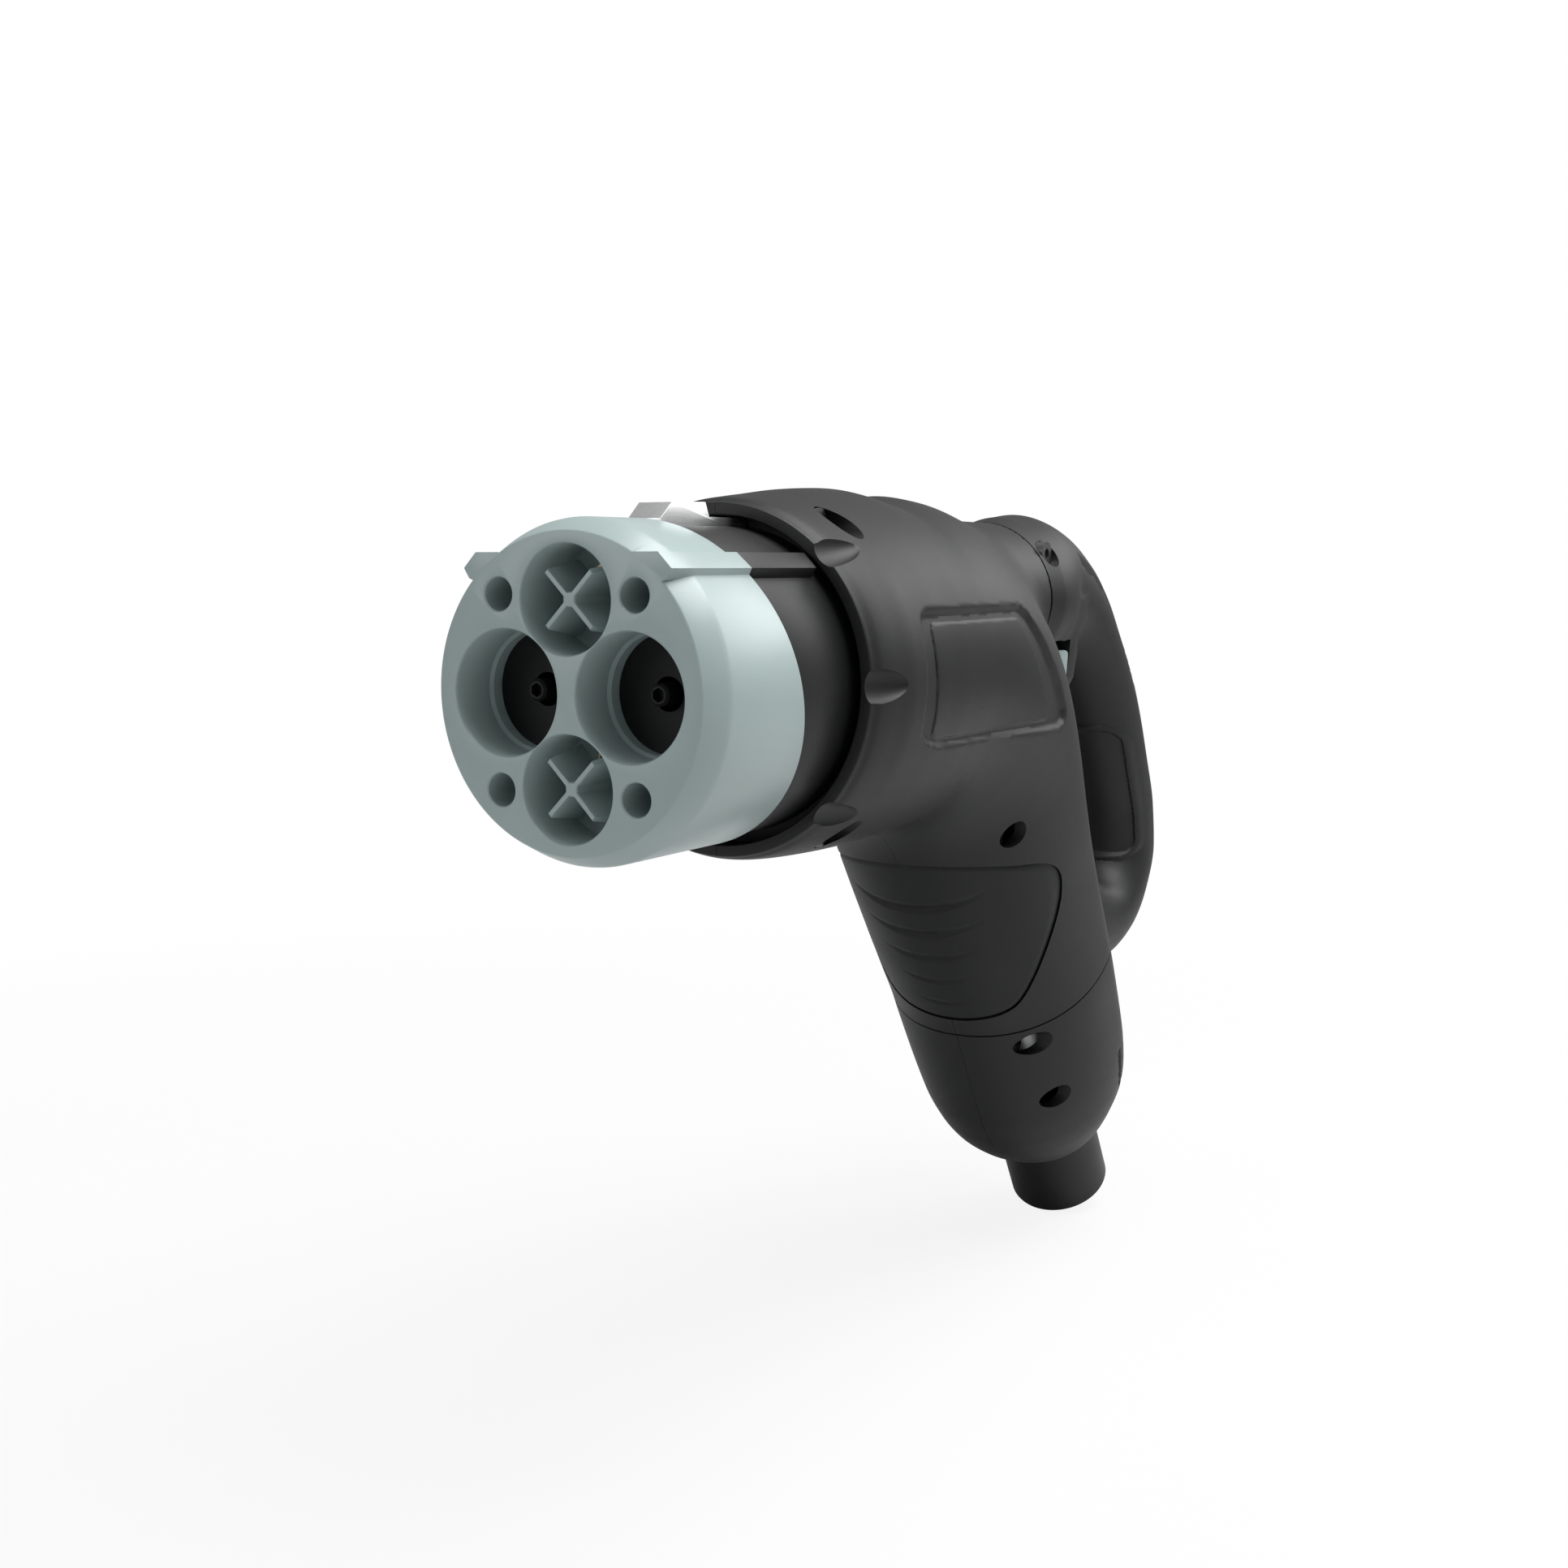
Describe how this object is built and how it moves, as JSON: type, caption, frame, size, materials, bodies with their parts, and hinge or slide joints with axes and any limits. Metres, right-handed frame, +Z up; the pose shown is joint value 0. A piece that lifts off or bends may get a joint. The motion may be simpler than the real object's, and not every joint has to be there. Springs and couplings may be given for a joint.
{
  "type": "dc charging plug",
  "caption": "Round-nosed fast-charging plug: two power and two signal sockets, metal latch hook, angled body, rear loop handle with unlock lever, ribbed grip and short cable stub.",
  "frame": {"origin": "centre of the round front face of the nose, on the nose axis", "axes": "-Y points out of the nose towards the vehicle, +Y back along the nose axis, +Z up towards the latch hook, X across the plug"},
  "size_m": [0.084, 0.298, 0.2192],
  "materials": {
    "black_shell": "fine grained moulded shell",
    "teal_plastic": "smooth moulded, slight sheen",
    "dark_insulator": "smooth moulded",
    "contact_metal": "silver plated copper alloy",
    "bright_steel": "stamped, satin",
    "plated_steel": "zinc plated",
    "solenoid_case": "coated case",
    "label_plastic": "smooth bare plate",
    "grip_rubber": "soft moulded",
    "cable_rubber": "extruded jacket",
    "core_insulation": "extruded insulation"
  },
  "bodies": {
    "body": {"nose_insulator": "teal_plastic", "nose_block": "teal_plastic", "neck_sleeve": "black_shell", "contact_holder_left": "dark_insulator", "contact_holder_right": "dark_insulator", "power_contact_left": "contact_metal", "power_contact_right": "contact_metal", "touch_pin_left": "dark_insulator", "touch_pin_right": "dark_insulator", "signal_contacts_top": "contact_metal", "signal_contacts_bottom": "contact_metal", "pin_carrier": "dark_insulator", "nose_screws": "plated_steel", "housing_left": "black_shell", "housing_right": "black_shell", "handle_left": "black_shell", "handle_right": "black_shell", "tail_left": "black_shell", "tail_right": "black_shell", "label_plate": "label_plastic", "grip_pad": "grip_rubber", "latch_pin": "plated_steel", "latch_spring": "plated_steel", "mechanism_bracket": "bright_steel", "lock_solenoid": "solenoid_case", "lever_pin": "plated_steel", "lever_spring": "plated_steel", "button_spring": "plated_steel", "micro_switch": "dark_insulator", "housing_screws": "plated_steel", "handle_screws": "plated_steel", "tail_screws": "plated_steel", "cable_clamp": "bright_steel", "clamp_screws": "plated_steel", "cable_gland": "grip_rubber", "cable_jacket": "cable_rubber", "power_cores": "core_insulation", "signal_harness": "core_insulation"},
    "latch": {"latch_hook": "bright_steel"},
    "rod": {"link_rod": "bright_steel"},
    "lever": {"unlock_lever": "black_shell", "lever_crank": "bright_steel"},
    "button": {"release_button": "teal_plastic"}
  },
  "joints": [
    {"name": "lever_pivot", "type": "hinge", "parent": "body", "child": "lever", "pos_m": [0, 0.26, -0.012], "axis": [-1, 0, 0], "range_deg": [0, 4.9], "stiffness_Nm_per_rad": 6, "springref_deg": -2.86, "deforming": ["lever_spring"]},
    {"name": "latch_pivot", "type": "hinge", "parent": "body", "child": "latch", "pos_m": [0, 0.084, 0.029], "axis": [1, 0, 0], "range_deg": [0, 5.2], "stiffness_Nm_per_rad": 1, "springref_deg": -5.73, "deforming": ["latch_spring"]},
    {"name": "rod_slide", "type": "slide", "parent": "body", "child": "rod", "axis": [0, 1, 0], "range_m": [0, 0.0019]},
    {"name": "button_slide", "type": "slide", "parent": "body", "child": "button", "axis": [0, 0, 1], "range_m": [0, 0.0025], "stiffness_N_per_m": 800, "springref_m": -0.001, "deforming": ["button_spring"]}
  ],
  "couplings": [
    {"joint": "latch_pivot", "follows": "lever_pivot", "ratio": 1.05},
    {"joint": "rod_slide", "follows": "lever_pivot", "m_per_rad": 0.021}
  ]
}
